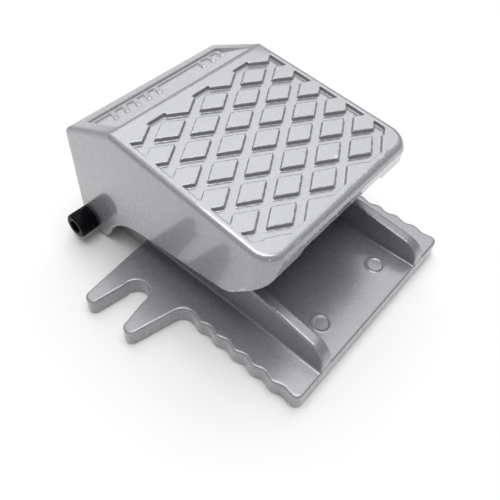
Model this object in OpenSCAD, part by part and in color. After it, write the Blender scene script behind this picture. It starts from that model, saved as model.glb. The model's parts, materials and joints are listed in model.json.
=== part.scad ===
// Foot-operated pneumatic directional valve: a cast treadle hinged over a cast base,
// pushing a vertical spool in a valve block between the base's side ribs.
// Frame: origin at the bottom centre of the overall box, +X right, +Y rear, +Z up.

/* [Overall] */
// Front to rear length over the base and the treadle
overall_l = 109.8; // [108:0.2:112]
// Thickness of the base plate
plate_t = 7.1; // [6:0.1:8]

/* [Base plate] */
// Half width of the scalloped middle of the plate, at the crests
plate_half_w = 43.6; // [42:0.1:45]
// Height of the scallops, crest to trough
scallop_h = 1.1; // [0.4:0.1:1.6]
// Spacing of the scallops
scallop_pitch = 7.73; // [7:0.01:8]
// Distance from the front edge to the first crest
scallop_start = 10; // [9:0.1:11]
// Radius of the inner end of each open slot
slot_r = 5; // [4.5:0.1:5.2]
// Distance of the slot's inner centre from the middle plane
slot_x = 50.2; // [49.5:0.1:51]
// Distance of the slot's inner centre from the front edge
slot_d = 65.5; // [65:0.1:66]

/* [Side ribs] */
// Half the clear width between the ribs
rib_in = 25.8; // [25.6:0.1:26]
// Half the width over the ribs at the plate
rib_out = 31.1; // [30.8:0.1:31.4]
// Draft of the ribs' outer faces, degrees
rib_draft = 8; // [0:1:9]

/* [Treadle] */
// Half width of the treadle
treadle_half_w = 37.6; // [37:0.1:38]
// Thickness of the treadle's side walls
treadle_wall = 3; // [2.6:0.1:3.2]
// Thickness of the treadle's top
treadle_top = 2.8; // [2.4:0.1:3.4]
// Distance of the treadle's front face from the front edge, at the foot of the face
lip_d = 19.1; // [19:0.1:19.3]
// How far the top of the front face leans forward
lip_lean = 0.9; // [0.5:0.1:1.1]
// Height of the treadle's top at the front face
lip_z = 49.4; // [49:0.1:50]
// Height of the lower edge of the front lip
lip_low_z = 42.7; // [42:0.1:44]
// Distance of the crease between tread and ridge from the front edge
crease_d = 85.2; // [84:0.1:86]
// Height of the crease
crease_z = 58.6; // [58:0.1:59]
// Height of the rear edge of the ridge
ridge_z = 48.2; // [47:0.1:49]
// Height of the lower edge of the treadle's rear wall
rear_low_z = 42; // [41.8:0.1:43]
// Radius of the treadle's front corners, seen from above
corner_r = 7.8; // [7:0.1:8.5]
// Radius of the treadle's rounded upper edges
edge_r = 1.8; // [1:0.1:2.2]
// Radius of the crease between tread and ridge
crease_r = 4; // [1:0.5:5]

/* [Tread pattern] */
// Depth of the channels between the pads
tread_depth = 1.5; // [0.8:0.1:1.6]
// Spacing of the pads across the treadle, in one row
pad_pitch_x = 20.65; // [20:0.05:21]
// Spacing of the rows down the slope
pad_pitch_s = 11.63; // [11:0.01:12]
// Length of a pad across the treadle
pad_w = 13.8; // [12:0.1:15]
// Length of a pad down the slope
pad_l = 8.1; // [7:0.1:8.8]

/* [Pivot] */
// Distance of the pivot axis from the front edge
pivot_d = 104.3; // [104:0.1:104.4]
// Height of the pivot axis
pivot_z = 8; // [8:0.1:8.2]
// Radius of the treadle's ears
ear_r = 7.4; // [7:0.1:7.5]
// Radius of the pivot sleeves
sleeve_r = 4; // [3.8:0.1:4.1]
// Radius of the pivot screws
pivot_r = 3; // [2.5:0.5:3]
// Radius of the pivot screws' heads
pivot_head_r = 5; // [4.8:0.1:5.2]

/* [Valve] */
// Radius of the spool's bore
bore_r = 7; // [6.5:0.5:7]
// Distance of the spool's axis from the front edge
spool_d = 72.5; // [72:0.5:73]
// Wall radius of the threaded ports
port_r = 5.72; // [5:0.01:6.2]
// Spacing of the ports across the rear face
port_pitch = 16.5; // [15:0.5:17]
// Height of the ports' axes
port_z = 22; // [18:1:24]
// Depth of the left port's threads; the middle one is 1 mm deeper and the right one 1 mm less deep
port_depth = 12; // [10:1:12]

/* [Hidden] */

$fn = 48;
run = 0.05;
eps = 0.02;
front_y = -overall_l / 2;
rear_y = overall_l / 2;

cast_grey = [0.72, 0.73, 0.74];
block_grey = [0.8, 0.81, 0.82];
steel = [0.62, 0.63, 0.65];
black_oxide = [0.05, 0.05, 0.06];
rubber_black = [0.08, 0.08, 0.08];
bronze = [0.72, 0.55, 0.3];

// y of a point at distance d behind the front edge
function fy(d) = front_y + d;

// Points of an arc about c from angle a0 to a1, n steps
function arc(c, r, a0, a1, n = 8) =
    [for (i = [0:n]) c + r * [cos(a0 + (a1 - a0) * i / n), sin(a0 + (a1 - a0) * i / n)]];

// Outline from corners [x, y, r], each turned into an arc of radius r that touches both its sides
function filleted(corners) = let (n = len(corners))
    [for (i = [0:n - 1]) let (
        b = [corners[i][0], corners[i][1]],
        a = [corners[(i + n - 1) % n][0], corners[(i + n - 1) % n][1]],
        c = [corners[(i + 1) % n][0], corners[(i + 1) % n][1]],
        r = corners[i][2],
        u = (a - b) / norm(a - b),
        v = (c - b) / norm(c - b),
        half = acos(u * v) / 2,
        m = (u + v) / norm(u + v),
        o = b + m * r / sin(half),
        side = u[0] * v[1] - u[1] * v[0] > 0 ? 1 : -1,
        steps = r > 0 ? max(2, ceil((90 - half) / 7)) : 0)
        for (k = [0:steps]) let (t = steps > 0 ? (2 * k / steps - 1) * (90 - half) * side : 0)
            r > 0 ? o - r * [m[0] * cos(t) + m[1] * sin(t), m[1] * cos(t) - m[0] * sin(t)] : b];

// Closed tube swept along a helix about Z: mean radius, wire radius, from z0 to z1
module helix(mean_r, wire_r, z0, z1, turns, steps = 20, sides = 10) {
    n = turns * steps;
    rise = z1 - z0 - 2 * wire_r;
    rings = [for (i = [0:n]) let (a = 360 * i / steps)
        [for (k = [0:sides - 1]) let (b = 360 * k / sides, q = mean_r + wire_r * cos(b))
            [q * cos(a), q * sin(a), z0 + wire_r + rise * i / n + wire_r * sin(b)]]];
    points = [for (ring = rings) for (p = ring) p];
    walls = [for (i = [0:n - 1]) for (k = [0:sides - 1]) let (m = (k + 1) % sides)
        [i * sides + k, i * sides + m, (i + 1) * sides + m, (i + 1) * sides + k]];
    start_cap = [for (k = [0:sides - 1]) k];
    end_cap = [for (k = [sides - 1:-1:0]) n * sides + k];
    polyhedron(points, concat(walls, [start_cap, end_cap]), convexity = 6);
}

// Round bar from point p to point q
module bar(p, q, r) {
    v = q - p;
    h = norm(v);
    translate(p)
        rotate([0, acos(v.z / h), atan2(v.y, v.x)])
            cylinder(r = r, h = h);
}

// Cylinder along X from x0 to x1
module rod_x(x0, x1, r) {
    translate([x0, 0, 0])
        rotate([0, 90, 0])
            cylinder(r = r, h = x1 - x0);
}

// Outline drawn in the plane of Y and Z, given thickness along X
module slab_x(x0, x1, points) {
    translate([x0, 0, 0])
        rotate([90, 0, 90])
            linear_extrude(x1 - x0)
                polygon(points);
}

// ---- Base ----

tip_r = 2.7;
front_tip = [60.1, 56.1];
rear_tip = [60.9, 74.8];
wing_root_d = 80.4;
tongue_d = 108.3;
fillet_r = 4.8;
fillet_c = [plate_half_w - scallop_h + fillet_r, 45.2];
scallop_end = 44.8;
rib_front_r = 7;
rib_rise = 0.16;
rib_front_top = 16.2;
lug_r = 5.4;
lug_x = 34.2;
mark_r = 3.1;
mark_x = 16.5;
mark_d = 10.8;
screw_x = 19.5;
screw_d = [66.5, 89.5];
spring_d = 53;
stop_x = 17;
stop_d = 55.5;

function scallop(d) = plate_half_w - scallop_h / 2
    + scallop_h / 2 * cos(360 * (d - scallop_start) / scallop_pitch);

// Right half of the plate's outline, distances measured from the front edge
plate_half = concat(
    [[0, 0]],
    arc([plate_half_w - 0.6 - 2.5, 2.5], 2.5, -90, 0, 6),
    [for (i = [0:60]) let (d = 5.5 + (scallop_end - 5.5) * i / 60) [scallop(d), d]],
    arc(fillet_c, fillet_r, 180, 102, 8),
    arc(front_tip, tip_r, -76, 99, 12),
    arc([slot_x, slot_d], slot_r, 280, 80, 16),
    arc(rear_tip, tip_r, -98, 84, 12),
    [[rib_out, wing_root_d], [rib_out, tongue_d - 2]],
    arc([rib_out - 2, tongue_d - 2], 2, 0, 90, 4),
    [[0, tongue_d]]);

module half_plate() {
    translate([0, front_y, 0])
        linear_extrude(plate_t)
            polygon(plate_half);
}

// Side rib on the right: rounded front end, top edge rising to the rear
module rib() {
    top_at_rear = rib_front_top + rib_rise * (tongue_d - rib_front_r);
    profile = concat(
        [[fy(0.4), plate_t - 1]],
        arc([fy(0.4 + rib_front_r), rib_front_top - rib_front_r], rib_front_r, 180, 99, 10),
        [[fy(tongue_d - 4), top_at_rear - 0.7], [fy(tongue_d), top_at_rear - 6],
         [fy(tongue_d), plate_t - 1]]);
    difference() {
        slab_x(rib_in, rib_out, profile);
        translate([rib_out, front_y - 1, plate_t])
            rotate([0, -rib_draft, 0])
                cube([10, overall_l + 2, 60]);
    }
}

module pivot_lug() {
    translate([0, fy(pivot_d), pivot_z])
        rod_x(rib_in + 0.5, lug_x, lug_r);
}

module base() {
    color(cast_grey)
    difference() {
        union() {
            for (side = [0, 1])
                mirror([side, 0, 0]) {
                    half_plate();
                    rib();
                    pivot_lug();
                }
            translate([0, fy(spring_d), plate_t - 1])
                cylinder(r = 4.4, h = 4.5);
        }
        for (side = [0, 1])
            mirror([side, 0, 0]) {
                translate([0, fy(pivot_d), pivot_z])
                    rod_x(rib_in - 1, lug_x + 1, pivot_r);
                translate([mark_x, fy(mark_d), plate_t - 0.3])
                    cylinder(r = mark_r, h = 1);
                translate([stop_x, fy(stop_d), plate_t - 5])
                    cylinder(r = 2, h = 6);
                for (d = screw_d)
                    translate([screw_x, fy(d), 0]) {
                        translate([0, 0, -1])
                            cylinder(r = 2.25, h = plate_t + 2);
                        translate([0, 0, -1])
                            cylinder(r = 4.1, h = 5.4);
                    }
            }
    }
}

// ---- Treadle ----

front_top_d = lip_d - lip_lean;
slope = atan2(crease_z - lip_z, crease_d - front_top_d);
strip_slope = atan2(crease_z - ridge_z, overall_l - crease_d);
tread_len = norm([crease_d - front_top_d, crease_z - lip_z]);
strip_len = norm([overall_l - crease_d, crease_z - ridge_z]);
strip_tilt = 3.4;
ear_in_x = treadle_half_w - treadle_wall;
flange_x = treadle_half_w + 0.1;
flange_t = 0.9;
washer_t = 1.6;
cheek_x = 20.5;
cheek_low_x = 27.5;
cheek_low_z = 35;
nose_r = 4;
nose_d = 76;
plunger_top_z = 49;
nose_z = plunger_top_z + nose_r + run;
post_r = 4;
post_low_z = 25.7;
spring_top_z = 31;
cup_stem_r = 2.5;

// Side outline of the treadle's outside, as [y, z]: lower edge from the ear to the front lip,
// then the filleted corners of the top
lower_edge = concat(
    arc([rear_y - ear_r, 8.1], ear_r, 0, -100, 10),
    arc([fy(98.1), 3.8], 2.5, -100, -180, 5),
    arc([fy(73), -3.5], 23, 20, 84.2, 9),
    arc([fy(38.5), 33.6], 10, -95.4, -136.5, 6),
    arc([fy(lip_d + 8), lip_low_z], 8, -136.5, -180, 7));
outer_profile = filleted(concat(
    [for (p = lower_edge) [p[0], p[1], 0]],
    [[fy(front_top_d), lip_z, edge_r], [fy(crease_d), crease_z, crease_r], [rear_y, ridge_z, edge_r]]));

// Side outline of the space inside the treadle
inner_profile = [
    [fy(lip_d + treadle_wall), -5],
    [fy(lip_d + treadle_wall), lip_z + treadle_wall * tan(slope) - treadle_top / cos(slope)],
    [fy(crease_d), crease_z - treadle_top / cos(slope)],
    [rear_y - treadle_wall, ridge_z + treadle_wall * tan(strip_slope) - treadle_top / cos(strip_slope)],
    [rear_y - treadle_wall, rear_low_z],
    [rear_y + 5, rear_low_z],
    [rear_y + 5, -5]];

// Rounded front corners, square rear corners
module plan(half_w, front, rear, r) {
    polygon(concat(
        [[half_w, rear], [-half_w, rear]],
        arc([-half_w + r, front + r], r, 180, 270, 10),
        arc([half_w - r, front + r], r, 270, 360, 10)));
}

// Long block under a plane that starts at the crease, with both of its upper side edges rounded
module rounded_slab(tilt) {
    translate([0, fy(crease_d), crease_z])
        rotate([90 + tilt, 0, 0])
            translate([0, 0, -150])
                linear_extrude(300)
                    polygon(filleted([[-treadle_half_w, 0, edge_r], [-treadle_half_w, -150, 0],
                                      [treadle_half_w, -150, 0], [treadle_half_w, 0, edge_r]]));
}

module tread_pad(x, s) {
    translate([x, -s])
        polygon([[pad_w / 2, 0], [0, pad_l / 2], [-pad_w / 2, 0], [0, -pad_l / 2]]);
}

// Channels of the tread, drawn on the slope with the crease at y = 0
module tread_channels() {
    rim = 3.1;
    rear_s = 4.5;
    front_s = tread_len - 4.1;
    cut_x = 9.6;
    cut_s = 5.6;
    row0 = 5.25;
    half_x = treadle_half_w - rim;
    difference() {
        polygon([[half_x, -rear_s], [half_x, -front_s + cut_s], [half_x - cut_x, -front_s],
                 [-half_x + cut_x, -front_s], [-half_x, -front_s + cut_s], [-half_x, -rear_s]]);
        for (i = [-1:1], j = [0:4])
            tread_pad(i * pad_pitch_x, row0 + (j + 0.5) * pad_pitch_s);
        for (i = [-1.5:1.5], j = [0:5])
            tread_pad(i * pad_pitch_x, row0 + j * pad_pitch_s);
    }
}

// Panel on the ridge strip, deepening to the rear, with two groups of plain slanted bars left standing
module strip_panel() {
    bar_w = 1.6;
    bar_l = 7.5;
    bar_pitch = 5;
    difference() {
        translate([-32, 0.8])
            square([64, strip_len - 7]);
        for (i = [-5:-1], row = [0, 1])
            if (row == 0 || i > -4)
                translate([i * bar_pitch + row * 6.5 * bar_pitch, strip_len / 2])
                    rotate(-25)
                        square([bar_w, bar_l], center = true);
    }
}

module treadle() {
    color(cast_grey)
    difference() {
        union() {
            difference() {
                intersection() {
                    slab_x(-treadle_half_w, treadle_half_w, outer_profile);
                    translate([0, 0, -1])
                        linear_extrude(crease_z + 5)
                            plan(treadle_half_w, fy(front_top_d), rear_y, corner_r);
                    rounded_slab(slope);
                    rounded_slab(-strip_slope);
                }
                intersection() {
                    slab_x(-ear_in_x, ear_in_x, inner_profile);
                    translate([0, 0, -6])
                        linear_extrude(crease_z + 5)
                            plan(ear_in_x, fy(lip_d + treadle_wall), rear_y + 6, corner_r - treadle_wall);
                }
            }
            for (side = [0, 1])
                mirror([side, 0, 0]) {
                    translate([stop_x, fy(stop_d), post_low_z])
                        cylinder(r = post_r, h = 27);
                }
            translate([0, fy(spring_d), spring_top_z + 1])
                cylinder(r = 8.6, h = 21);
            translate([-5, fy(nose_d) - nose_r, nose_z])
                cube([10, 2 * nose_r, 3]);
            translate([0, fy(nose_d), nose_z])
                rod_x(-5, 5, nose_r);
        }
        translate([0, fy(crease_d), crease_z])
            rotate([slope, 0, 0])
                translate([0, 0, -tread_depth])
                    linear_extrude(tread_depth + 3)
                        tread_channels();
        translate([0, fy(crease_d), crease_z])
            rotate([-strip_slope - strip_tilt, 0, 0])
                linear_extrude(4)
                    strip_panel();
        translate([0, fy(lip_d) + treadle_wall + 0.2, 0])
            rotate([90, 0, 0])
                linear_extrude(treadle_wall + 2)
                    polygon([[-cheek_x, lip_low_z], [cheek_x, lip_low_z], [cheek_low_x, cheek_low_z],
                             [cheek_low_x, 0], [-cheek_low_x, 0], [-cheek_low_x, cheek_low_z]]);
        translate([0, fy(spring_d), spring_top_z])
            cylinder(r = cup_stem_r, h = 8);
        for (side = [0, 1])
            mirror([side, 0, 0])
                translate([0, fy(pivot_d), pivot_z])
                    rod_x(ear_in_x - 1, treadle_half_w + 1, sleeve_r + run);
    }
}

// ---- Valve block and its spool ----

block_half_w = 25.3;
block_front_d = 62;
block_rear_d = 108.5;
block_top_z = 40.95;
tower_r = 10;
tower_z = 43.2;
head_seat_z = 40.5;
bush_low_z = 34.5;
bush_top_z = 39.3;
cap_top_z = 10.1;
spool_low_z = 16;
spool_top_z = 33;
land_h = 2.5;
waist_r = 4.6;
pocket_r = 4.1;
pocket_top_z = 23;
stem_r = 4;
supply_z = 14.3;
outlet_z = 21.5;
exhaust_z = 29.2;
passage_r = 1.5;

// Distance of a port's inner end from the front edge: -1 left, 0 middle, 1 right
function port_end_d(i) = block_rear_d - port_depth + (i == 0 ? -1 : i == 1 ? 1 : 0);

module valve_body() {
    color(block_grey)
    difference() {
        union() {
            translate([-block_half_w, fy(block_front_d), plate_t])
                cube([2 * block_half_w, block_rear_d - block_front_d, block_top_z - plate_t]);
            translate([0, fy(spool_d), block_top_z - 1])
                cylinder(r = tower_r, h = tower_z - block_top_z + 1);
        }
        translate([0, fy(spool_d), 0]) {
            translate([0, 0, plate_t - 1])
                cylinder(r = bore_r, h = tower_z);
            translate([0, 0, head_seat_z])
                cylinder(r = bore_r + 0.4, h = 10);
            translate([0, 0, bush_top_z])
                cylinder(r = bore_r + 0.6, h = 1);
        }
        for (i = [-1:1])
            translate([i * port_pitch, fy(port_end_d(i)), port_z])
                rotate([-90, 0, 0])
                    cylinder(r = port_r, h = port_depth + 3);
        bar([0, fy(port_end_d(0)) + 1, port_z - 2], [0, fy(spool_d) + 4, supply_z - 0.5], passage_r);
        bar([-port_pitch, fy(port_end_d(-1)) + 1, port_z], [-2, fy(spool_d) + 4, outlet_z], passage_r);
        bar([port_pitch, fy(port_end_d(1)) + 1, port_z + 2], [2, fy(spool_d) + 4, exhaust_z], passage_r);
        for (side = [-1, 1], d = screw_d)
            translate([side * screw_x, fy(d), plate_t - 1])
                cylinder(r = 2, h = 10);
    }
}

module spool() {
    color(steel)
    translate([0, fy(spool_d), 0])
        difference() {
            union() {
                translate([0, 0, spool_low_z])
                    cylinder(r = waist_r, h = spool_top_z - spool_low_z);
                for (z = [spool_low_z, spool_low_z + 11.2, spool_top_z - land_h])
                    translate([0, 0, z])
                        cylinder(r = bore_r - run, h = land_h);
            }
            for (z = [spool_low_z, spool_low_z + 11.2, spool_top_z - land_h])
                translate([0, 0, z + land_h / 2])
                    rotate_extrude()
                        translate([bore_r - 0.95, -0.8])
                            square([2, 1.6]);
            translate([0, 0, spool_low_z - 1])
                cylinder(r = pocket_r, h = pocket_top_z - spool_low_z + 1);
        }
}

// Ring of round section about Z
module seal_ring(mean_r, cord_r) {
    rotate_extrude()
        translate([mean_r, 0])
            circle(r = cord_r, $fn = 20);
}

module spool_seals() {
    color(rubber_black)
    for (z = [spool_low_z, spool_low_z + 11.2, spool_top_z - land_h])
        translate([0, fy(spool_d), z + land_h / 2])
            seal_ring(bore_r - 0.53, 0.4);
}

module spool_spring() {
    color(steel)
    translate([0, fy(spool_d), 0])
        helix(3.3, 0.4, cap_top_z, pocket_top_z, 7);
}

module plunger() {
    color(steel)
    translate([0, fy(spool_d), 0]) {
        translate([0, 0, spool_top_z])
            cylinder(r = 6, h = 1.4);
        translate([0, 0, spool_top_z + 1])
            cylinder(r = stem_r, h = plunger_top_z - spool_top_z - 2);
        translate([0, 0, plunger_top_z - 2.6])
            cylinder(r = 6.3, h = 2.6);
    }
}

module plunger_seal() {
    color(rubber_black)
    translate([0, fy(spool_d), 37])
        seal_ring(stem_r + run + 0.7, 0.65);
}

module guide_bush() {
    color(bronze)
    translate([0, fy(spool_d), 0])
        difference() {
            translate([0, 0, bush_low_z])
                cylinder(r = bore_r - eps, h = bush_top_z - bush_low_z);
            translate([0, 0, bush_low_z - 1])
                cylinder(r = stem_r + run, h = 10);
            translate([0, 0, 37])
                rotate_extrude()
                    translate([stem_r, -0.7])
                        square([1.45, 1.4]);
            translate([0, 0, 36])
                rotate_extrude()
                    translate([bore_r - 0.85, -0.5])
                        square([2, 1]);
        }
}

module guide_bush_seal() {
    color(rubber_black)
    translate([0, fy(spool_d), 36])
        seal_ring(bore_r - 0.45, 0.39);
}

// Internal ring in its groove above the guide bush, with a gap
module bush_circlip() {
    color(steel)
    translate([0, fy(spool_d), bush_top_z + 0.05])
        difference() {
            cylinder(r = bore_r + 0.55, h = 0.85);
            translate([0, 0, -1])
                cylinder(r = bore_r - 0.9, h = 3);
            translate([-1.6, -bore_r - 2, -1])
                cube([3.2, 4, 3]);
        }
}

module bottom_cap() {
    color(bronze)
    translate([0, fy(spool_d), 0])
        difference() {
            translate([0, 0, plate_t + eps])
                cylinder(r = bore_r - eps, h = cap_top_z - plate_t - eps);
            translate([0, 0, plate_t + 1.4])
                rotate_extrude()
                    translate([bore_r - 0.85, -0.5])
                        square([2, 1]);
        }
}

module bottom_cap_seal() {
    color(rubber_black)
    translate([0, fy(spool_d), plate_t + 1.4])
        seal_ring(bore_r - 0.45, 0.39);
}

// Socket-head cap screw pointing up, head's underside at z = 0
module cap_screw(r, head_r, head_h, len, socket) {
    difference() {
        union() {
            translate([0, 0, -head_h])
                cylinder(r = head_r, h = head_h);
            translate([0, 0, -0.5])
                cylinder(r = r, h = len + 0.5);
        }
        translate([0, 0, -head_h - 1])
            cylinder(r = socket / 2 / cos(30), h = head_h / 2 + 1, $fn = 6);
    }
}

module body_screws() {
    color(black_oxide)
    for (side = [-1, 1], d = screw_d)
        translate([side * screw_x, fy(d), 4.4 - eps])
            cap_screw(2 - eps, 3.5, 4, 10, 3);
}

// ---- Springs, pivots and stops ----

module treadle_spring() {
    color(steel)
    translate([0, fy(spring_d), 0])
        helix(6.6, 0.8, plate_t, spring_top_z - 0.5, 5, 24);
}

// Cup under the treadle that centres the spring's upper end
module treadle_spring_cup() {
    color(rubber_black)
    translate([0, fy(spring_d), 0]) {
        translate([0, 0, spring_top_z - 0.5])
            cylinder(r = 8.6, h = 1.5);
        translate([0, 0, spring_top_z - 3.5])
            cylinder(r = 3.6, h = 3.5);
        translate([0, 0, spring_top_z])
            cylinder(r = cup_stem_r - eps, h = 7);
    }
}

module pivot_screw() {
    color(black_oxide)
    translate([flange_x + flange_t + washer_t, fy(pivot_d), pivot_z])
        rotate([0, -90, 0])
            cap_screw(pivot_r - 0.03, pivot_head_r, 6, 13, 5);
}

// Spring lock washer, split at its front
module pivot_washer() {
    split_w = 1;
    color(black_oxide)
    translate([flange_x + flange_t, fy(pivot_d), pivot_z])
        difference() {
            rod_x(0, washer_t, pivot_head_r - 0.05);
            rod_x(-1, washer_t + 1, pivot_r + run);
            translate([-1, -2 * pivot_head_r, -split_w / 2])
                cube([washer_t + 2, 2 * pivot_head_r, split_w]);
        }
}

// Flanged sleeve clamped between the lug and the lock washer; the ear turns on it
module pivot_sleeve() {
    color(rubber_black)
    translate([0, fy(pivot_d), pivot_z])
        difference() {
            union() {
                rod_x(lug_x, flange_x + flange_t, sleeve_r);
                rod_x(flange_x, flange_x + flange_t, pivot_head_r - 0.1);
            }
            rod_x(lug_x - 1, flange_x + flange_t + 1, pivot_r + run);
        }
}

// Rubber buffer under the treadle's post, with a peg in the base
module bump_stop() {
    color(rubber_black)
    translate([stop_x, fy(stop_d), 0]) {
        translate([0, 0, plate_t])
            cylinder(r = 4.6, h = 9);
        translate([0, 0, plate_t - 4.8])
            cylinder(r = 2 - eps, h = 5);
    }
}

base();
treadle();
valve_body();
spool();
spool_seals();
spool_spring();
plunger();
plunger_seal();
guide_bush();
guide_bush_seal();
bush_circlip();
bottom_cap();
bottom_cap_seal();
body_screws();
treadle_spring();
treadle_spring_cup();
mirror([1, 0, 0]) pivot_screw();  // pivot_screw_left
pivot_screw();  // pivot_screw_right
mirror([1, 0, 0]) pivot_washer();  // pivot_washer_left
pivot_washer();  // pivot_washer_right
mirror([1, 0, 0]) pivot_sleeve();  // pivot_sleeve_left
pivot_sleeve();  // pivot_sleeve_right
mirror([1, 0, 0]) bump_stop();  // bump_stop_left
bump_stop();  // bump_stop_right
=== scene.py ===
import json
import math

import bpy
import numpy as np
from mathutils import Matrix, Vector


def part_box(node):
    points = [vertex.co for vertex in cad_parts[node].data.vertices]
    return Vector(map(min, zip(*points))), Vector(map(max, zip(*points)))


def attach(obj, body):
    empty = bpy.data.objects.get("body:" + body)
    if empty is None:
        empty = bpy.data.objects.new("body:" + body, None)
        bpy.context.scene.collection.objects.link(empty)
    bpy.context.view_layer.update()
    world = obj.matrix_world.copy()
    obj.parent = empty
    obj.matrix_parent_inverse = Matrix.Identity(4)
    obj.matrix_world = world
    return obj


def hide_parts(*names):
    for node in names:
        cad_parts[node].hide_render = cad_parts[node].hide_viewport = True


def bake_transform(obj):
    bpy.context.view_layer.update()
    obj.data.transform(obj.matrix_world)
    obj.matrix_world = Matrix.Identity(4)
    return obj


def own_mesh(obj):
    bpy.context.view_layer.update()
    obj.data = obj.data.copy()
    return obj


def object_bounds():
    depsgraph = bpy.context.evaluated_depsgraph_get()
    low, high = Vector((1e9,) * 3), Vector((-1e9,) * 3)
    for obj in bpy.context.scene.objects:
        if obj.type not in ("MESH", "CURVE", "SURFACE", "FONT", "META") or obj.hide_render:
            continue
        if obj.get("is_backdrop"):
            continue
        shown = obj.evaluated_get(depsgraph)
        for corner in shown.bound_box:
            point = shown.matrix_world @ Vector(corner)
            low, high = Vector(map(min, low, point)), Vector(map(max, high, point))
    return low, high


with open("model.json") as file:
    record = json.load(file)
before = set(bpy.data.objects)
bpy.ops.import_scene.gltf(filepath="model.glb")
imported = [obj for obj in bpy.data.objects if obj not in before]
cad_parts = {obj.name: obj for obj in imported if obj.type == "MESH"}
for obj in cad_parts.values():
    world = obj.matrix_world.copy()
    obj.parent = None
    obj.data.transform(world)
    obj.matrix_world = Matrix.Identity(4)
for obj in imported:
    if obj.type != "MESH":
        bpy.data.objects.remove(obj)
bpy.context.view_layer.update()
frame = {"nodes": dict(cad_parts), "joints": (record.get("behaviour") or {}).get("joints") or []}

# ---- Sizes taken from the frame ----

joints = {j["name"]: j for j in frame["joints"]}
PIVOT = Vector(joints["treadle_hinge"]["pos_m"])


def middle(node):
    """Centre of a node's box."""
    low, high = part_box(node)
    return (Vector(low) + Vector(high)) / 2


def half_width(node):
    """Half of a node's size along X."""
    low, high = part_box(node)
    return (high[0] - low[0]) / 2


def half_height(node):
    """Half of a node's size along Z."""
    low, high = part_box(node)
    return (high[2] - low[2]) / 2


def reach_x(node):
    """Distances of a node's inner and outer ends from the middle plane."""
    low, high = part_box(node)
    return sorted((abs(low[0]), abs(high[0])))


# ---- Mesh helpers ----

def add_object(name, mesh):
    obj = bpy.data.objects.new(name, mesh)
    bpy.context.scene.collection.objects.link(obj)
    return obj


def build(name, verts, faces, sharp_deg=35):
    """A mesh object from lists, shaded smooth except at edges sharper than sharp_deg."""
    mesh = bpy.data.meshes.new(name)
    mesh.from_pydata([tuple(v) for v in verts], [], [tuple(f) for f in faces])
    mesh.update()
    mesh.shade_smooth()
    mesh.set_sharp_from_angle(angle=math.radians(sharp_deg))
    return add_object(name, mesh)


def rings(name, ring_list, place, sharp_deg=35):
    """Skin over rings of equally many points, moved by the matrix place and closed at both ends."""
    n = len(ring_list[0])
    last = (len(ring_list) - 1) * n
    verts = [place @ Vector(p) for ring in ring_list for p in ring]
    faces = [(i * n + k, i * n + (k + 1) % n, (i + 1) * n + (k + 1) % n, (i + 1) * n + k)
             for i in range(len(ring_list) - 1) for k in range(n)]
    faces.append(range(n)[::-1])
    faces.append(range(last, last + n))
    return build(name, verts, faces, sharp_deg)


def rounded(profile, radius, steps=4):
    """Profile of [r, z] corners with each inner corner turned into an arc of the given radius."""
    out = [profile[0]]
    for a, b, c in zip(profile, profile[1:], profile[2:]):
        a, b, c = Vector(a), Vector(b), Vector(c)
        u, v = (a - b), (c - b)
        cut = min(radius, 0.45 * u.length, 0.45 * v.length)
        p, q = b + u.normalized() * cut, b + v.normalized() * cut
        for i in range(steps + 1):
            t = i / steps
            out.append(tuple(p * (1 - t) ** 2 + b * 2 * t * (1 - t) + q * t ** 2))
    out.append(profile[-1])
    return out


def circle(r, z, segments=96):
    """Points round the Z axis at radius r and height z."""
    angles = [2 * math.pi * k / segments for k in range(segments)]
    return [(r * math.cos(a), r * math.sin(a), z) for a in angles]


def lathe(name, profile, place):
    """Closed solid turned about Z from a profile of [r, z] that ends on the axis at both ends."""
    return rings(name, [circle(max(r, 1e-6), z) for r, z in profile], place)


def tube(name, profile, place):
    """Closed ring turned about Z from a closed profile of [r, z]."""
    ring_list = [circle(r, z) for r, z in profile]
    n, m = len(ring_list[0]), len(ring_list)
    verts = [place @ Vector(p) for ring in ring_list for p in ring]
    faces = [(i * n + k, i * n + (k + 1) % n, ((i + 1) % m) * n + (k + 1) % n, ((i + 1) % m) * n + k)
             for i in range(m) for k in range(n)]
    return build(name, verts, faces)


def split_ring(name, profile, place, gap, segments=96):
    """Ring turned about Z from a closed profile of [r, z], open over the angle gap round the -Y side."""
    start = -math.pi / 2 + gap / 2
    ring_list = []
    for k in range(segments + 1):
        a = start + (2 * math.pi - gap) * k / segments
        ring_list.append([(r * math.cos(a), r * math.sin(a), z) for r, z in profile])
    return rings(name, ring_list, place)


def coil(name, axis_xy, mean_r, wire_r, z0, z1, active, steps=48, sides=16):
    """Compression spring whose wire reaches from z0 to z1, with one closed turn at each end."""
    closed = 1.0
    lift = 1.8 * wire_r
    turns = active + 2 * closed
    n = int(turns * steps)
    low, high = z0 + wire_r, z1 - wire_r

    def height(t):
        if t < closed:
            return low + lift * (t / closed) ** 3
        if t > turns - closed:
            return high - lift * ((turns - t) / closed) ** 3
        return low + lift + (t - closed) / active * (high - low - 2 * lift)

    ring_list = []
    for i in range(n + 1):
        t = turns * i / n
        a = 2 * math.pi * t
        z = height(t)
        ring_list.append([((mean_r + wire_r * math.cos(b)) * math.cos(a),
                           (mean_r + wire_r * math.cos(b)) * math.sin(a),
                           z + wire_r * math.sin(b))
                          for b in [2 * math.pi * k / sides for k in range(sides)]])
    return rings(name, ring_list, Matrix.Translation((axis_xy[0], axis_xy[1], 0)))


def baked(obj):
    """Replaces obj's mesh by what its modifiers make of it."""
    bpy.context.view_layer.update()
    mesh = bpy.data.meshes.new_from_object(obj.evaluated_get(bpy.context.evaluated_depsgraph_get()))
    obj.modifiers.clear()
    obj.data = mesh


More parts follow.
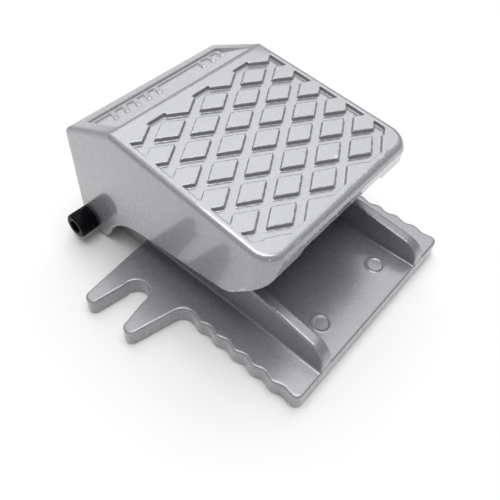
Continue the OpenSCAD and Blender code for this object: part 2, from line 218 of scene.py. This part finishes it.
def cast_copy(node, name, voxel, rounds, keep, shape):
    """A copy of a CAD node with the softly rounded edges of a casting.

    It is remeshed at the size voxel and smoothed in that many rounds. shape takes its points as an
    array and returns them moved. Then it is thinned to the share keep of its faces, and keeps the
    smooth shading of the full copy."""
    obj = add_object(name, frame["nodes"][node].data.copy())
    obj.data.materials.clear()
    remesh = obj.modifiers.new("remesh", "REMESH")
    remesh.mode = "VOXEL"
    remesh.voxel_size = voxel
    remesh.use_smooth_shade = True
    relax = obj.modifiers.new("relax", "SMOOTH")
    relax.factor = 0.5
    relax.iterations = rounds
    baked(obj)
    points = np.empty(len(obj.data.vertices) * 3)
    obj.data.vertices.foreach_get("co", points)
    points = shape(points.reshape(-1, 3))
    obj.data.vertices.foreach_set("co", points.ravel())
    obj.data.update()
    full = add_object(name + "_full", obj.data.copy())
    full.data.shade_smooth()
    thin = obj.modifiers.new("thin", "DECIMATE")
    thin.ratio = keep
    baked(obj)
    obj.data.shade_smooth()
    shading = obj.modifiers.new("shading", "DATA_TRANSFER")
    shading.object = full
    shading.use_loop_data = True
    shading.data_types_loops = {"CUSTOM_NORMAL"}
    shading.loop_mapping = "POLYINTERP_NEAREST"
    baked(obj)
    bpy.data.meshes.remove(full.data)
    return obj


def use(obj, body, material, nodes):
    """Gives a piece its material and body, and hides the CAD nodes that it stands for.

    body None leaves the piece attached to no body."""
    obj.data.materials.clear()
    obj.data.materials.append(material)
    if body is not None:
        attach(obj, body)
    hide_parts(*nodes)


# ---- Materials ----

class Nodes:
    """Short calls for building a material's node tree."""

    def __init__(self, name):
        self.material = bpy.data.materials.new(name)
        self.material.use_nodes = True
        self.tree = self.material.node_tree
        self.shader = next(n for n in self.tree.nodes if n.type == "BSDF_PRINCIPLED")
        coordinates = self.add("ShaderNodeTexCoord")
        self.place = coordinates.outputs["Object"]

    def add(self, kind, **values):
        node = self.tree.nodes.new(kind)
        for key, value in values.items():
            setattr(node, key, value)
        return node

    def link(self, a, b):
        self.tree.links.new(a, b)

    def noise(self, scale, detail):
        """Noise at that scale per metre, between 0 and 1 and mostly between 0.3 and 0.7."""
        node = self.add("ShaderNodeTexNoise")
        node.inputs["Scale"].default_value = scale
        node.inputs["Detail"].default_value = detail
        node.inputs["Roughness"].default_value = 0.5
        self.link(self.place, node.inputs["Vector"])
        return node.outputs["Fac"]

    def remap(self, value, low, high, from_low=0.3, from_high=0.7):
        node = self.add("ShaderNodeMapRange")
        node.inputs["From Min"].default_value = from_low
        node.inputs["From Max"].default_value = from_high
        node.inputs["To Min"].default_value = low
        node.inputs["To Max"].default_value = high
        self.link(value, node.inputs["Value"])
        return node.outputs["Result"]

    def times(self, a, b):
        node = self.add("ShaderNodeMath", operation="MULTIPLY")
        self.link(a, node.inputs[0])
        self.link(b, node.inputs[1])
        return node.outputs["Value"]

    def mix(self, factor, a, b):
        """Colour between a and b, each of them a tuple or another node's output."""
        node = self.add("ShaderNodeMix", data_type="RGBA")
        self.link(factor, node.inputs["Factor"])
        for socket, value in ((node.inputs[6], a), (node.inputs[7], b)):
            if isinstance(value, tuple):
                socket.default_value = (*value, 1.0)
            else:
                self.link(value, socket)
        return node.outputs[2]

    def bump(self, height, strength, distance, after=None):
        node = self.add("ShaderNodeBump")
        node.inputs["Strength"].default_value = strength
        node.inputs["Distance"].default_value = distance
        self.link(height, node.inputs["Height"])
        if after is not None:
            self.link(after, node.inputs["Normal"])
        return node.outputs["Normal"]

    def set(self, **values):
        """Sets the shader's inputs, each of them to a number or another node's output."""
        names = {"color": "Base Color", "rough": "Roughness", "metal": "Metallic", "coat": "Coat Weight",
                 "coat_rough": "Coat Roughness", "coat_ior": "Coat IOR", "normal": "Normal",
                 "specular": "Specular IOR Level"}
        for key, value in values.items():
            socket = self.shader.inputs[names[key]]
            if isinstance(value, (int, float)):
                socket.default_value = value
            else:
                self.link(value, socket)


def tinted(color, share):
    """The colour made darker or lighter by that share."""
    return tuple(c * share for c in color)


def paint_material(name, tone, coat_rough):
    """Glossy silver-grey paint over a casting: fine mottle, flake, dark specks, lighter sharp edges that are
    partly worn bare metal and partly painted highlight, orange peel.
    """
    m = Nodes(name)
    silver = (tone, tone * 1.015, tone * 1.085)
    flake, speck, bare_metal_and_highlight = (0.46, 0.465, 0.48), (0.06, 0.06, 0.065), (0.72, 0.73, 0.76)
    base = m.mix(m.remap(m.noise(900, 3), 0, 1), tinted(silver, 0.955), tinted(silver, 1.045))
    base = m.mix(m.remap(m.noise(2600, 1), 0, 0.20, 0.45, 0.75), base, flake)
    base = m.mix(m.remap(m.noise(420, 2), 0, 0.75, 0.80, 0.86), base, speck)
    # Sharp edges turn lighter: partly worn bare metal, partly painted highlight that brightens the rims.
    edge = m.remap(m.add("ShaderNodeNewGeometry").outputs["Pointiness"], 0, 1, 0.53, 0.60)
    wear_and_highlight = m.times(edge, m.remap(m.noise(1500, 3), 0, 1, 0.42, 0.62))
    base = m.mix(wear_and_highlight, base, bare_metal_and_highlight)
    rough = m.remap(m.noise(500, 2), 0.25, 0.31)
    peel = m.bump(m.noise(700, 2), 0.10, 0.00010)
    fine = m.bump(m.noise(3800, 2), 0.06, 0.00003, peel)
    m.set(color=base, metal=0.25, rough=rough, coat=1.0, coat_rough=coat_rough, coat_ior=1.70, normal=fine)
    return m.material


def metal_material(name, color, rough_low, rough_high, grain, metal=1.0, specular=0.5):
    """Bare or blackened metal with small-scale variation in its polish and a fine grain."""
    m = Nodes(name)
    tint = m.mix(m.remap(m.noise(120, 4), 0, 1), tinted(color, 0.88), color)
    rough = m.remap(m.noise(420, 4), rough_low, rough_high)
    m.set(color=tint, metal=metal, rough=rough, specular=specular,
          normal=m.bump(m.noise(grain, 3), 0.15, 0.00004))
    return m.material


def dull_material(name, color, rough_low, rough_high, grain):
    """Rubber or moulded plastic with a matt grain."""
    m = Nodes(name)
    faded = tuple(c * 1.6 + 0.004 for c in color)
    m.set(color=m.mix(m.remap(m.noise(90, 4), 0, 1), color, faded),
          rough=m.remap(m.noise(300, 3), rough_low, rough_high),
          normal=m.bump(m.noise(grain, 3), 0.2, 0.00006))
    return m.material


PAINT = paint_material("silver_paint", tone=0.33, coat_rough=0.05)
# The base has the same silver paint as the treadle with a rougher coat; its darker tone is painted shade, for
# the base lying in the treadle's shade.
SHADE_DARKENED_BASE_PAINT = paint_material("silver_paint_rough_coat_painted_shade", tone=0.245, coat_rough=0.28)
BLOCK = metal_material("blasted_aluminium", (0.78, 0.79, 0.80), 0.38, 0.52, 2600)
STEEL = metal_material("ground_steel", (0.60, 0.60, 0.61), 0.18, 0.30, 2200)
SPRING = metal_material("spring_wire", (0.36, 0.36, 0.38), 0.25, 0.38, 3000)
BRONZE = metal_material("turned_bronze", (0.62, 0.42, 0.20), 0.22, 0.36, 2400)
BLACK_STEEL = metal_material("black_oxide", (0.004, 0.004, 0.006), 0.22, 0.34, 2800, metal=0.0, specular=0.06)
RUBBER = dull_material("rubber", (0.016, 0.016, 0.017), 0.62, 0.80, 1800)
PLASTIC = dull_material("moulded_plastic", (0.020, 0.020, 0.022), 0.42, 0.56, 1500)

# ---- Castings ----

# Treadle: radii of the rolled edge and of the front corners in plan, crease between tread and
# ridge as (y, z), top and lean of the front lip, height of the ridge's rear end.
EDGE_R = 0.0019
CORNER_R = 0.0078
CREASE = (0.0303, 0.0586)
LIP_TOP_Z = 0.0494
LIP_LEAN = math.atan2(0.9, 6.7)
RIDGE_Z = 0.0482

# Base: top of the plate, how far from it a point still counts as on top, and the plate's two
# ejector marks as (x, y, direction of the rim's highest part).
PLATE_TOP = 0.0071
TOP_BAND = 0.001
MARKS = ((-0.0165, -0.0441, 0.6), (0.0165, -0.0441, 2.2))
MARK_R = 0.0031
MARK_RIM_H = 0.00026
MARK_RIM_W = 0.0003
MARK_SINK = 0.00012
MARK_SINK_STEP = 0.0002

# Block: its three ports and their quarter-inch pipe thread, which grows to its full depth over
# RUN_IN and fades over RUN_OUT. Points within WALL_BAND of PORT_R are on a port's wall.
PORT_R = 0.00572
PORT_PITCH = 0.0165
PORT_Z = 0.022
THREAD_PITCH = 0.001337
THREAD_DEPTH = 0.0006
THREAD_START = 0.0005
THREAD_LENGTH = 0.0095
RUN_IN = 0.0008
RUN_OUT = 0.001
WALL_BAND = 0.0004


def round_treadle(p):
    """Rolls the treadle's upper front and side edges over at EDGE_R, round the front corners too."""
    low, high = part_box("treadle")
    front, rear, half = low[1], high[1], high[0]
    x, y, z = p.T

    # Depth under the nearer one of the two top faces, tread and ridge, and that face's normal.
    slope = math.atan2(CREASE[1] - LIP_TOP_Z, CREASE[0] - front)
    fall = math.atan2(CREASE[1] - RIDGE_Z, rear - CREASE[0])
    up_tread = np.array([0, -math.sin(slope), math.cos(slope)])
    up_ridge = np.array([0, math.sin(fall), math.cos(fall)])
    crease = np.array([0, *CREASE])
    depth_tread = (crease - p) @ up_tread
    depth_ridge = (crease - p) @ up_ridge
    depth = np.minimum(depth_tread, depth_ridge)
    up = np.where((depth_tread < depth_ridge)[:, None], up_tread, up_ridge)

    # Distance inside the nearest one of side, lip and front corner, and its outward normal.
    qx = np.abs(x) - (half - CORNER_R)
    qy = front + CORNER_R - y
    reach = np.maximum(np.hypot(qx, qy), 1e-9)
    zero = np.zeros_like(x)
    to_side = half - np.abs(x)
    to_front = (y - front) * math.cos(LIP_LEAN) - (LIP_TOP_Z - z) * math.sin(LIP_LEAN)
    to_corner = np.where((qx > 0) & (qy > 0), CORNER_R - reach, 1.0)
    insets = np.stack([to_side, to_front, to_corner])
    outs = np.stack([np.stack([np.sign(x), zero, zero], axis=1),
                     np.stack([zero, zero - math.cos(LIP_LEAN), zero - math.sin(LIP_LEAN)], axis=1),
                     np.stack([np.sign(x) * qx / reach, -qy / reach, zero], axis=1)])
    nearest = insets.argmin(axis=0)
    rows = np.arange(len(p))
    inset, out = insets[nearest, rows], outs[nearest, rows]

    # Points outside the circle of the rolled edge move onto it.
    a, b = EDGE_R - inset, EDGE_R - depth
    length = np.maximum(np.hypot(a, b), 1e-9)
    near = (a > 0) & (b > 0) & (length > EDGE_R)
    new_inset = np.where(near, EDGE_R - EDGE_R * a / length, inset)
    new_depth = np.where(near, EDGE_R - EDGE_R * b / length, depth)
    return p - out * (new_inset - inset)[:, None] - up * (new_depth - depth)[:, None]


def mark_base(p):
    """Raises the worn rims of the two round ejector marks on the plate and sinks their middles."""
    p = p.copy()
    for cx, cy, turn in MARKS:
        r = np.hypot(p[:, 0] - cx, p[:, 1] - cy)
        angle = np.arctan2(p[:, 1] - cy, p[:, 0] - cx)
        on_top = (r < MARK_R * 1.5) & (np.abs(p[:, 2] - PLATE_TOP) < TOP_BAND)
        wear = 0.75 + 0.35 * np.cos(angle - turn)
        rim = MARK_RIM_H * np.exp(-((r - MARK_R) / MARK_RIM_W) ** 2) * wear
        dish = MARK_SINK / 2 * (1 - np.tanh((r - MARK_R * 0.92) / MARK_SINK_STEP))
        p[:, 2] = np.where(on_top, PLATE_TOP + rim - dish, p[:, 2])
    return p


def thread_ports(p):
    """Cuts a helical pipe thread into the walls of the block's three ports."""
    p = p.copy()
    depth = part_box("valve_body")[1][1] - p[:, 1]
    full = (np.clip((depth - THREAD_START) / RUN_IN, 0, 1)
            * np.clip((THREAD_LENGTH - depth) / RUN_OUT, 0, 1))
    for i in (-1, 0, 1):
        qx, qz = p[:, 0] - i * PORT_PITCH, p[:, 2] - PORT_Z
        r = np.maximum(np.hypot(qx, qz), 1e-9)
        turn = depth / THREAD_PITCH - np.arctan2(qz, qx) / (2 * math.pi)
        groove = THREAD_DEPTH * full * (1 - np.abs(2 * (turn % 1) - 1))
        push = np.where(np.abs(r - PORT_R) < WALL_BAND, groove, 0) / r
        p[:, 0] += qx * push
        p[:, 2] += qz * push
    return p


use(cast_copy("base", "base_casting", voxel=0.00030, rounds=14, keep=0.3, shape=mark_base),
    "frame", SHADE_DARKENED_BASE_PAINT, ["base"])
use(cast_copy("treadle", "treadle_casting", voxel=0.00023, rounds=3, keep=0.25, shape=round_treadle),
    "pedal", PAINT, ["treadle"])
use(cast_copy("valve_body", "valve_block", voxel=0.00022, rounds=2, keep=0.2, shape=thread_ports),
    "frame", BLOCK, ["valve_body"])

# ---- Screws, washers and sleeves ----

M6_SHANK_R = 0.00297
M6_HOLE_R = 0.00305
M6_KEY = 0.005
M4_SHANK_R = 0.00198
M4_HEAD_R = 0.0035
M4_HEAD_H = 0.004
M4_KEY = 0.003
WASHER_GAP = 0.26
SLEEVE_R = 0.004
FLANGE_T = 0.0009
BROKEN_EDGE = 0.0002


def hexagon(flats, angle):
    """Radius of a hexagon of that width across flats, in the direction angle."""
    part = (angle + math.pi / 6) % (math.pi / 3) - math.pi / 6
    return flats / 2 / math.cos(part)


def socket_screw(name, place, shank_r, head_r, head_h, length, flats):
    """Socket-head cap screw along Z: knurled head from z = -head_h to 0, shank up to length."""
    teeth, per = 40, 6
    n = teeth * per

    def ring(r, z, knurl=0.0):
        out = []
        for k in range(n):
            a = 2 * math.pi * k / n
            q = r(a) if callable(r) else r
            q -= knurl * (0.5 + 0.5 * math.cos(2 * math.pi * (k % per) / per))
            out.append((q * math.cos(a), q * math.sin(a), z))
        return out

    def hexa(scale):
        return lambda a: hexagon(flats, a) * scale

    chamfer = head_r * 0.1
    depth = head_h * 0.5
    knurl = head_r * 0.03
    socket = [ring(1e-5, -head_h + depth * 1.12), ring(hexa(0.97), -head_h + depth),
              ring(hexa(1.0), -head_h + depth * 0.96), ring(hexa(1.0), -head_h + chamfer * 0.5),
              ring(hexa(1.0), -head_h + chamfer * 0.42), ring(flats * 0.62, -head_h + 0.00002),
              ring(flats * 0.63, -head_h)]
    head = [ring(head_r - chamfer * 1.2, -head_h), ring(head_r - chamfer, -head_h + chamfer * 0.1),
            ring(head_r - chamfer * 0.3, -head_h + chamfer * 0.65), ring(head_r - knurl, -head_h + chamfer),
            ring(head_r, -head_h + chamfer * 1.5, knurl), ring(head_r, -chamfer * 2.1, knurl),
            ring(head_r - knurl, -chamfer * 1.6), ring(head_r - chamfer * 0.2, -chamfer * 0.4),
            ring(head_r - chamfer * 0.6, 0)]
    shank = [ring(shank_r * 1.001, 0), ring(shank_r, 0.00005), ring(shank_r, length - shank_r * 0.25),
             ring(shank_r * 0.8, length), ring(1e-5, length)]
    return rings(name, socket + head + shank, place, sharp_deg=50)


def on_pivot(side, x):
    """Frame on the pivot's axis, x away from the middle plane on that side, its +Z towards the plane."""
    turn = Matrix.Rotation(math.radians(-90 * side), 4, "Y")
    return Matrix.Translation((side * x, PIVOT.y, PIVOT.z)) @ turn


for side, word in ((-1, "left"), (1, "right")):
    screw, washer, sleeve = "pivot_screw_" + word, "pivot_washer_" + word, "pivot_sleeve_" + word
    screw_in, screw_out = reach_x(screw)
    washer_in, washer_out = reach_x(washer)
    sleeve_in, sleeve_out = reach_x(sleeve)

    use(socket_screw("pivot_screw." + word, on_pivot(side, washer_out), M6_SHANK_R, half_height(screw),
                     screw_out - washer_out, washer_out - screw_in, M6_KEY),
        "frame", BLACK_STEEL, [screw])

    thick, washer_r = washer_out - washer_in, half_height(washer)
    section = rounded([(M6_HOLE_R, thick / 2), (M6_HOLE_R, 0), (washer_r, 0), (washer_r, thick),
                       (M6_HOLE_R, thick), (M6_HOLE_R, thick / 2)], BROKEN_EDGE)[:-1]
    use(split_ring("lock_washer." + word, section, on_pivot(side, washer_out), WASHER_GAP),
        "frame", BLACK_STEEL, [washer])

    length, flange_r = sleeve_out - sleeve_in, half_height(sleeve)
    section = rounded([(M6_HOLE_R, length / 2), (M6_HOLE_R, 0), (flange_r, 0), (flange_r, FLANGE_T),
                       (SLEEVE_R, FLANGE_T), (SLEEVE_R, length), (M6_HOLE_R, length),
                       (M6_HOLE_R, length / 2)], BROKEN_EDGE)[:-1]
    use(tube("pivot_sleeve." + word, section, on_pivot(side, sleeve_out)),
        "frame", PLASTIC, [sleeve])

low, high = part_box("body_screws")
for i, x in enumerate((low[0] + M4_HEAD_R, high[0] - M4_HEAD_R)):
    for j, y in enumerate((low[1] + M4_HEAD_R, high[1] - M4_HEAD_R)):
        use(socket_screw("block_screw.%d%d" % (i, j), Matrix.Translation((x, y, low[2] + M4_HEAD_H)),
                         M4_SHANK_R, M4_HEAD_R, M4_HEAD_H, high[2] - low[2] - M4_HEAD_H, M4_KEY),
            "frame", BLACK_STEEL, ["body_screws"])

# ---- Springs ----

RETURN_WIRE_R = 0.0008
RETURN_TURNS = 4.2
SPOOL_WIRE_R = 0.0004
SPOOL_TURNS = 5

low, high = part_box("treadle_spring")
y = middle("treadle_spring").y
spring = coil("return_spring", (0, y), half_width("treadle_spring") - RETURN_WIRE_R, RETURN_WIRE_R,
              low[2], high[2], RETURN_TURNS)
use(spring, None, SPRING, ["treadle_spring"])
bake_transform(spring)

low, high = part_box("spool_spring")
y = middle("spool").y
spring = coil("spool_return_spring", (0, y), half_width("spool_spring") - SPOOL_WIRE_R, SPOOL_WIRE_R,
              low[2], high[2], SPOOL_TURNS)
use(spring, "frame", SPRING, ["spool_spring"])
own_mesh(spring)

# ---- Bump stops, spring cup and plunger ----

# Bump stop: peg in the plate, collar on it, narrower top. Heights are above the plate.
STOP_PEG_R = 0.0019
STOP_H = 0.009
COLLAR_H = 0.003
SHOULDER_H = 0.004
STOP_TOP_SHARE = 0.9
STOP_EDGE = 0.0008

# Spring cup: core inside the spring, flange on the spring, peg in the treadle.
CORE_R = 0.0036
CORE_H = 0.003
CUP_FLANGE_T = 0.0015
CUP_PEG_R = 0.00246

# Plunger: foot on the spool, stem and slightly crowned button.
FOOT_R = 0.006
FOOT_H = 0.0014
STEM_R = 0.004
BUTTON_H = 0.0026
CROWN = 0.0001

# Rounding of the cup's and the plunger's edges.
SMALL_EDGE = 0.0004

for word in ("left", "right"):
    node = "bump_stop_" + word
    low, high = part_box(node)
    mid, r = middle(node), half_width(node)
    plate, top_r = high[2] - STOP_H, r * STOP_TOP_SHARE
    profile = rounded([(0, low[2]), (STOP_PEG_R, low[2]), (STOP_PEG_R, plate), (r, plate),
                       (r, plate + COLLAR_H), (top_r, plate + SHOULDER_H), (top_r, high[2]),
                       (0, high[2])], STOP_EDGE)
    use(lathe("bump_stop." + word, profile, Matrix.Translation((mid.x, mid.y, 0))),
        "frame", RUBBER, [node])

low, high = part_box("treadle_spring_cup")
mid, r = middle("treadle_spring_cup"), half_width("treadle_spring_cup")
flange = low[2] + CORE_H
profile = rounded([(0, low[2]), (CORE_R, low[2]), (CORE_R, flange), (r, flange), (r, flange + CUP_FLANGE_T),
                   (CUP_PEG_R, flange + CUP_FLANGE_T), (CUP_PEG_R, high[2]), (0, high[2])], SMALL_EDGE)
use(lathe("spring_cup", profile, Matrix.Translation((0, mid.y, 0))),
    "pedal", PLASTIC, ["treadle_spring_cup"])

low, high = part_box("plunger")
mid, r = middle("plunger"), half_width("plunger")
profile = rounded([(0, low[2]), (FOOT_R, low[2]), (FOOT_R, low[2] + FOOT_H), (STEM_R, low[2] + FOOT_H),
                   (STEM_R, high[2] - BUTTON_H), (r, high[2] - BUTTON_H), (r, high[2] - CROWN),
                   (0, high[2])], SMALL_EDGE)
use(lathe("plunger_button", profile, Matrix.Translation((0, mid.y, 0))),
    "slider", STEEL, ["plunger"])

# ---- Materials of the CAD nodes that stay ----

carried = {"spool": STEEL, "spool_seals": RUBBER, "plunger_seal": RUBBER, "guide_bush": BRONZE,
           "guide_bush_seal": RUBBER, "bush_circlip": STEEL, "bottom_cap": BRONZE, "bottom_cap_seal": RUBBER}
for node, material in carried.items():
    obj = frame["nodes"][node]
    obj.data.materials.clear()
    obj.data.materials.append(material)

# ---- Floor, light and camera ----

FLOOR_HALF = 3.0
SUBJECT = Vector((0, 0, 0.04))


def floor_material():
    m = Nodes("floor")
    color = m.mix(m.remap(m.noise(6, 3), 0, 1), (0.90, 0.90, 0.90), (0.915, 0.915, 0.915))
    m.set(color=color, rough=0.6, specular=0.25)
    return m.material


def area_light(name, location, width, height, power):
    """Rectangular light that faces the subject."""
    light = bpy.data.lights.new(name, "AREA")
    light.shape = "RECTANGLE"
    light.size, light.size_y = width, height
    light.energy = power
    obj = bpy.data.objects.new(name, light)
    bpy.context.scene.collection.objects.link(obj)
    obj.location = location
    obj.rotation_euler = (SUBJECT - Vector(location)).to_track_quat("-Z", "Y").to_euler()


def studio_world(bands, side, lean):
    """Soft light from all round, whose strength changes with the height above the horizon.

    bands holds (sine of the elevation, strength). Light from the direction side is stronger by the
    share lean, and light from the other side weaker."""
    world = bpy.data.worlds.new("studio")
    world.use_nodes = True
    tree = world.node_tree
    background = tree.nodes["Background"]
    background.inputs["Color"].default_value = (1, 1, 1, 1)
    coordinates = tree.nodes.new("ShaderNodeTexCoord")
    split = tree.nodes.new("ShaderNodeSeparateXYZ")
    ramp = tree.nodes.new("ShaderNodeValToRGB")
    scale = tree.nodes.new("ShaderNodeMath")
    scale.operation = "MULTIPLY"
    strongest = max(strength for _, strength in bands)
    elements = ramp.color_ramp.elements
    while len(elements) < len(bands):
        elements.new(0.5)
    for element, (sine, strength) in zip(elements, bands):
        element.position = sine
        element.color = (*[strength / strongest] * 3, 1)
    towards = tree.nodes.new("ShaderNodeVectorMath")
    towards.operation = "DOT_PRODUCT"
    towards.inputs[1].default_value = side
    share = tree.nodes.new("ShaderNodeMapRange")
    share.inputs["From Min"].default_value = -1
    share.inputs["To Min"].default_value = strongest * (1 - lean)
    share.inputs["To Max"].default_value = strongest * (1 + lean)
    tree.links.new(coordinates.outputs["Generated"], split.inputs["Vector"])
    tree.links.new(coordinates.outputs["Generated"], towards.inputs[0])
    tree.links.new(split.outputs["Z"], ramp.inputs["Fac"])
    tree.links.new(towards.outputs["Value"], share.inputs["Value"])
    tree.links.new(ramp.outputs["Color"], scale.inputs[0])
    tree.links.new(share.outputs["Result"], scale.inputs[1])
    tree.links.new(scale.outputs["Value"], background.inputs["Strength"])
    bpy.context.scene.world = world


floor = build("floor", [(-FLOOR_HALF, -FLOOR_HALF, 0), (FLOOR_HALF, -FLOOR_HALF, 0),
                        (FLOOR_HALF, FLOOR_HALF, 0), (-FLOOR_HALF, FLOOR_HALF, 0)], [(0, 1, 2, 3)])
floor.data.materials.append(floor_material())
floor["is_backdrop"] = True

studio_world([(0.0, 0.38), (0.25, 0.30), (0.50, 0.29), (0.66, 0.32), (0.80, 0.50), (1.0, 0.60)],
             side=(-0.30, 0.95, 0), lean=0.22)
area_light("overhead", (0.0, -0.10, 1.5), width=1.0, height=1.0, power=13.5)
area_light("right_softbox", (0.66, 0.56, 1.27), width=1.6, height=0.80, power=7.2)

eye = Vector((-0.1164, -0.0902, 0.1731))
aim = Vector((0.0, 0.01996, 0.01199))
roll = math.radians(-0.46)
camera_data = bpy.data.cameras.new("camera")
camera_data.sensor_width = 36
camera_data.lens = 41.57
camera_data.shift_x = 0.0726
camera_data.shift_y = -0.1125
camera_data.clip_start = 0.01
camera = bpy.data.objects.new("camera", camera_data)
bpy.context.scene.collection.objects.link(camera)
camera.matrix_world = (Matrix.Translation(eye) @ (aim - eye).to_track_quat("-Z", "Y").to_matrix().to_4x4()
                       @ Matrix.Rotation(roll, 4, "Z"))
bpy.context.scene.camera = camera
bpy.context.scene.view_settings.view_transform = "Standard"

low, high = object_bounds()
